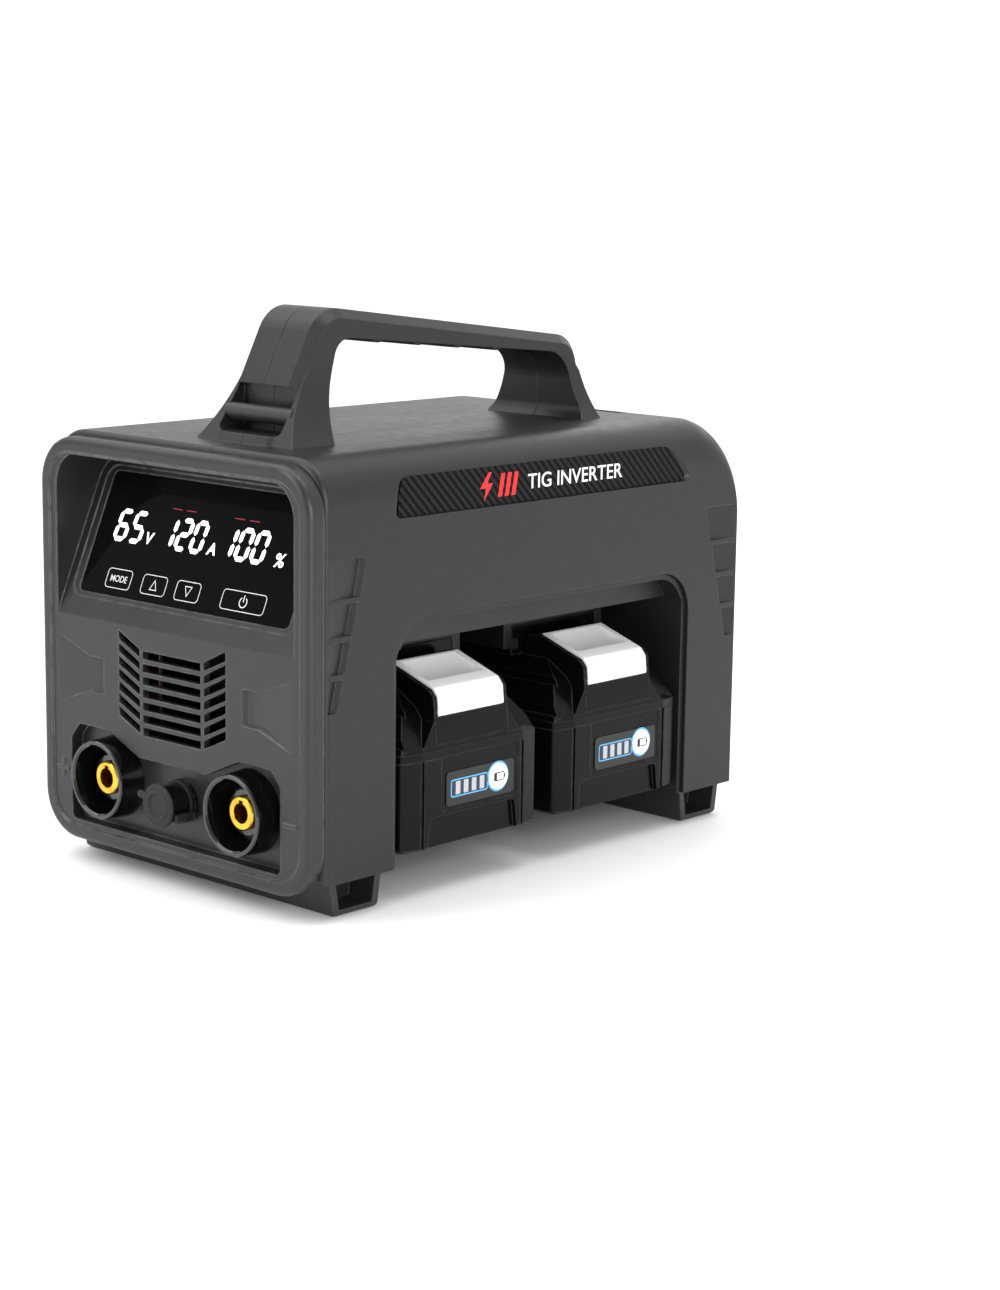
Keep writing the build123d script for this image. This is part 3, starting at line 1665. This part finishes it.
def foot(front, rear, screw_depth):
    """A foot bar across the machine: leaning sides, a rounded sole, an open pocket at each end."""
    with BuildPart() as bar:
        with BuildSketch(Plane.YZ.offset(-foot_half_length)):
            Polygon(
                *yz(
                    [
                        (front + foot_lean, 0),
                        (rear - foot_lean, 0),
                        (rear, foot_height),
                        (front, foot_height),
                    ]
                ),
                align=None,
            )
        extrude(amount=2 * foot_half_length)
        fillet(bar.faces().sort_by(Axis.Z)[0].edges(), foot_round)
        hollow = [
            (front + foot_lean + foot_wall, foot_wall),
            (rear - foot_lean - foot_wall, foot_wall),
            (rear - foot_wall, foot_height + 1),
            (front + foot_wall, foot_height + 1),
        ]
        for side in (1, -1):
            with BuildSketch(Plane.YZ.offset(side * (foot_half_length + 1))):
                Polygon(*yz(hollow), align=None)
            extrude(amount=-side * (foot_pocket + 1), mode=Mode.SUBTRACT)
        bays = 4
        bay_length = (2 * (foot_half_length - foot_pocket) - (bays + 1) * foot_wall) / bays
        for step in range(bays):
            start = -foot_half_length + foot_pocket + foot_wall + step * (bay_length + foot_wall)
            with BuildSketch(Plane.YZ.offset(start)):
                Polygon(*yz(hollow), align=None)
            extrude(amount=bay_length, mode=Mode.SUBTRACT)
        with BuildSketch(Plane.XY):
            with Locations(*[(x, depth(screw_depth)) for x in (-foot_screw_x, foot_screw_x)]):
                Circle(foot_post)
        extrude(amount=foot_height)
        with BuildSketch(Plane.XY.offset(foot_height + 1)):
            with Locations(*[(x, depth(screw_depth)) for x in (-foot_screw_x, foot_screw_x)]):
                Circle(screw_radius)
        extrude(amount=-foot_height + 4, mode=Mode.SUBTRACT)
    return bar


rear_foot_end = case_length - 1.5
rear_foot_front = rear_foot_end - foot_rear + foot_front
save(foot(foot_front, foot_rear, foot_screw_depths[0]), "front_foot")
save(foot(rear_foot_front, rear_foot_end, foot_screw_depths[1]), "rear_foot")

with BuildPart() as foot_screws:
    with BuildSketch(Plane.XY.offset(foot_height + case_wall)):
        with Locations(*foot_screw_places()):
            Circle(screw_head_radius)
    extrude(amount=2.2)
    with BuildSketch(Plane.XY.offset(foot_height + case_wall)):
        with Locations(*foot_screw_places()):
            Circle(screw_radius)
    extrude(amount=-case_wall - 9)
save(foot_screws, "foot_screws")


# --- rear panel and fan -------------------------------------------------------------------------------

with BuildPart() as rear_panel:
    mid_height = (outlet_low + outlet_high) / 2
    with BuildSketch(facing(case_length)):
        with Locations((0, mid_height)):
            RectangleRounded(
                2 * (outlet_half_width - fit_gap),
                outlet_high - outlet_low - 2 * fit_gap,
                outlet_round - fit_gap,
            )
    extrude(amount=case_wall)
    with BuildSketch(facing(case_length - case_wall)):
        with Locations((0, mid_height)):
            Rectangle(
                2 * (outlet_half_width + outlet_overlap),
                outlet_high - outlet_low + 2 * outlet_overlap,
            )
    extrude(amount=outlet_flange)
    with BuildSketch(facing(case_length + 1)):
        with Locations((fan_x, fan_height - 5)):
            with GridLocations(0, 6.0, 1, 8):
                SlotOverall(56, 3.2)
        with Locations((0, 70)):
            with GridLocations(0, 8.0, 1, 7):
                SlotOverall(96, 3.6)
    extrude(amount=case_wall + 4, mode=Mode.SUBTRACT)
    for side in (1, -1):
        with BuildSketch(facing(case_length)):
            with Locations((side * (outlet_half_width - 7), mid_height)):
                Rectangle(2.4, outlet_high - outlet_low - 24)
        extrude(amount=0.8, mode=Mode.SUBTRACT)
save(rear_panel, "rear_panel")

fan_front = case_length - case_wall - outlet_flange - fan_depth
fan_hole = fan_size / 2 - fan_wall

with BuildPart() as fan_frame:
    with BuildSketch(facing(fan_front + fan_depth)):
        with Locations((fan_x, fan_height)):
            RectangleRounded(fan_size, fan_size, 4)
            Circle(fan_hole, mode=Mode.SUBTRACT)
    extrude(amount=fan_depth)
    with BuildSketch(facing(fan_front + fan_depth)):
        with Locations((fan_x, fan_height)):
            Circle(fan_hub - 1)
            for turn in (30, 150, 270):
                with Locations(Location((0, 0), turn)):
                    with Locations(((fan_hole + 1) / 2, 0)):
                        Rectangle(fan_hole + 1, 4)
    extrude(amount=fan_guard)
    with BuildSketch(facing(fan_front + fan_depth - fan_guard)):
        with Locations((fan_x, fan_height)):
            Circle(fan_shaft)
    extrude(amount=fan_depth - 7)
save(fan_frame, "fan_frame")

with BuildPart() as fan_rotor:
    rotor_rear = fan_front + fan_depth - 3.5
    with BuildSketch(facing(rotor_rear)):
        with Locations((fan_x, fan_height)):
            Circle(fan_hub)
            for turn in range(fan_blades):
                with Locations(Location((0, 0), 360 / fan_blades * turn)):
                    with Locations(((fan_hole - 1) / 2, 0)):
                        Rectangle(fan_hole - 1, fan_blade_width)
    extrude(amount=fan_depth - 5.5)
    with BuildSketch(facing(rotor_rear + 1)):
        with Locations((fan_x, fan_height)):
            Circle(fan_shaft + bore_gap)
    extrude(amount=fan_depth - 6.3, mode=Mode.SUBTRACT)
save(fan_rotor, "fan_rotor")


# --- power electronics --------------------------------------------------------------------------------

board_rear = 246.0
board_left = -80.0
board_right = 74.0
board_top = board_height + board_thickness

with BuildPart() as power_board:
    with BuildSketch(Plane.XY.offset(board_height)):
        with Locations(((board_left + board_right) / 2, depth((board_front + board_rear) / 2))):
            Rectangle(board_right - board_left, board_rear - board_front)
    extrude(amount=board_thickness)
save(power_board, "power_board")

with BuildPart() as board_posts:
    post_base = bay_ceiling + bay_liner_wall
    with BuildSketch(Plane.XY.offset(post_base)):
        for post_x in (bay_end + 8, 62.0):
            for post_depth in (board_front + 8, board_rear - 8):
                with Locations((post_x, depth(post_depth))):
                    Circle(3.5)
    extrude(amount=board_height - post_base)
save(board_posts, "board_posts")

sink_length = 120.0
sink_width = 60.0
sink_depth = 150.0
sink_x = -46.0
sink_base = 5.0
fin_count = 12

with BuildPart() as heatsink:
    base_low = board_top + 6.0
    with BuildSketch(Plane.XY.offset(base_low)):
        with Locations((sink_x, depth(sink_depth))):
            Rectangle(sink_width, sink_length)
    extrude(amount=sink_base)
    with BuildSketch(Plane.XY.offset(base_low + sink_base)):
        with Locations((sink_x, depth(sink_depth))):
            with GridLocations((sink_width - 2) / (fin_count - 1), 0, fin_count, 1):
                Rectangle(1.8, sink_length)
    extrude(amount=30)
save(heatsink, "heatsink")

with BuildPart() as power_transistors:
    with BuildSketch(Plane.XY.offset(board_top)):
        with Locations((sink_x, depth(sink_depth))):
            with GridLocations(30, 22, 2, 5):
                Rectangle(16, 15)
    extrude(amount=6.0)
save(power_transistors, "power_transistors")

core_x = 24.0
core_depth = 196.0
with BuildPart() as transformer_core:
    with BuildSketch(Plane.XY.offset(board_top)):
        with Locations((core_x, depth(core_depth))):
            Rectangle(56, 20)
    extrude(amount=50)
    with BuildSketch(facing(core_depth + 15)):
        for side in (1, -1):
            with Locations((core_x + side * 16, board_top + 25)):
                Rectangle(13, 34)
    extrude(amount=40, mode=Mode.SUBTRACT)
save(transformer_core, "transformer_core")

with BuildPart() as transformer_winding:
    with BuildSketch(Plane.XY.offset(board_top + 10)):
        with Locations((core_x, depth(core_depth))):
            RectangleRounded(42, 42, 8)
            Rectangle(19.6, 20.6, mode=Mode.SUBTRACT)
    extrude(amount=30)
save(transformer_winding, "transformer_winding")

choke_x = 30.0
choke_depth = 130.0
with BuildPart() as output_choke:
    with BuildSketch(Plane.XY.offset(board_top)):
        with Locations((choke_x, depth(choke_depth))):
            Circle(24)
            Circle(10, mode=Mode.SUBTRACT)
    extrude(amount=22)
    fillet(output_choke.edges().filter_by(GeomType.CIRCLE), 5)
save(output_choke, "output_choke")

with BuildPart() as capacitors:
    with BuildSketch(Plane.XY.offset(board_top)):
        with Locations((30, depth(88))):
            with GridLocations(24, 0, 3, 1):
                Circle(10)
    extrude(amount=36)
    fillet(capacitors.faces().group_by(Axis.Z)[-1].edges(), 1.5)
save(capacitors, "capacitors")
